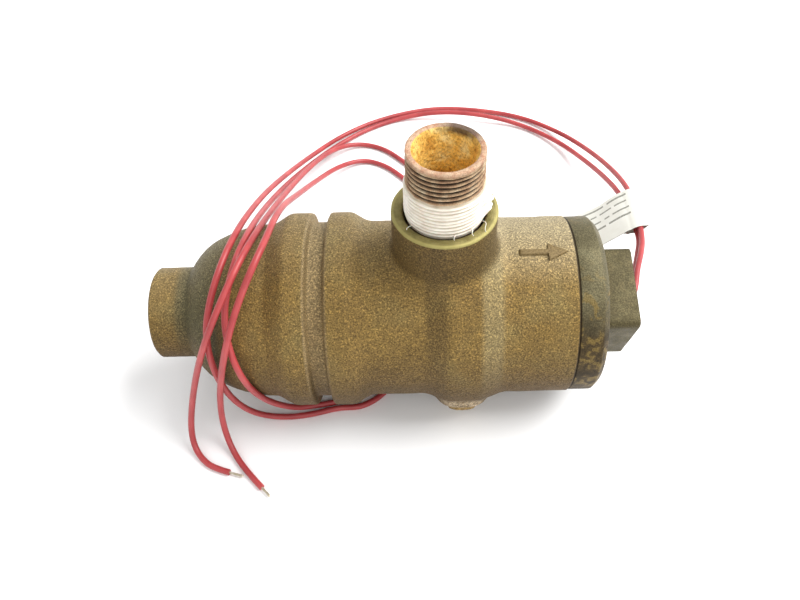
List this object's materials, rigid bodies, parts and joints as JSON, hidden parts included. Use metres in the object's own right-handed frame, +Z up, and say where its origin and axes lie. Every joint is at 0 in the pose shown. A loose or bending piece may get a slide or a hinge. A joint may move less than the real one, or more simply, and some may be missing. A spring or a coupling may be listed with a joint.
{
  "type": "piston flow switch",
  "caption": "In-line piston flow switch: cast body with a threaded inlet, a side outlet fitted with a pipe nipple, a screw-in bonnet with a square head, and insulated reed-switch leads.",
  "frame": {"origin": "on the floor under the middle of the casting and bonnet, as the switch lies with its outlet port up", "axes": "+X along the casting from the inlet to the bonnet's square head, +Z up the outlet port, +Y away from the side with the bleed boss"},
  "size_m": [0.2007, 0.2344, 0.114],
  "materials": {
    "cast_bronze": "sand-cast, dull brown-gold skin",
    "bonnet_bronze": "machined and tarnished olive-brown",
    "seal_rubber": "moulded nitrile",
    "turned_bronze": "turned",
    "stem_brass": "drawn and turned",
    "spring_steel": "bright drawn",
    "sleeve_plastic": "extruded",
    "reed_glass": "clear, faintly green",
    "reed_metal": "plated nickel-iron",
    "solder": "bright fillet",
    "lead_insulation": "soft satin red",
    "potting_resin": "cast epoxy",
    "ferrite": "sintered ferrite",
    "rusty_steel": "dull rust-brown",
    "ptfe_tape": "wound film",
    "tinned_copper": "bare stranded wire",
    "label_film": "satin printed film"
  },
  "bodies": {
    "valve": {"valve_body": "cast_bronze", "bonnet": "bonnet_bronze", "bonnet_o_ring": "seal_rubber", "orifice_seat": "turned_bronze", "stem_tube": "stem_brass", "stem_tip_plug": "stem_brass", "stem_retaining_ring": "spring_steel", "reed_sleeve": "sleeve_plastic", "reed_glass": "reed_glass", "reed_fixed_blade": "reed_metal", "reed_leads": "reed_metal", "solder_joints": "solder", "inner_leads": "lead_insulation", "potting_plug": "potting_resin", "spring_washer": "spring_steel", "return_spring": "spring_steel", "outlet_nipple": "rusty_steel", "thread_tape": "ptfe_tape", "lead_wire_1": "lead_insulation", "lead_wire_2": "lead_insulation", "conductor_end_1": "tinned_copper", "conductor_end_2": "tinned_copper", "lead_label": "label_film"},
    "shuttle": {"shuttle_body": "turned_bronze", "shuttle_magnet": "ferrite", "magnet_retainer": "stem_brass"},
    "reed_arm": {"reed_moving_blade": "reed_metal"}
  },
  "joints": [
    {"name": "shuttle_slide", "type": "slide", "parent": "valve", "child": "shuttle", "axis": [1, 0, 0], "range_m": [0, 0.012], "stiffness_N_per_m": 80, "springref_m": -0.01, "deforming": ["return_spring"]},
    {"name": "reed_contact", "type": "hinge", "parent": "valve", "child": "reed_arm", "pos_m": [-0.00525, 0, 0.0354], "axis": [0, 1, 0], "range_deg": [0, 1.2]}
  ],
  "couplings": [
    {"joint": "reed_contact", "follows": "shuttle_slide", "rad_per_m": 1.74}
  ]
}
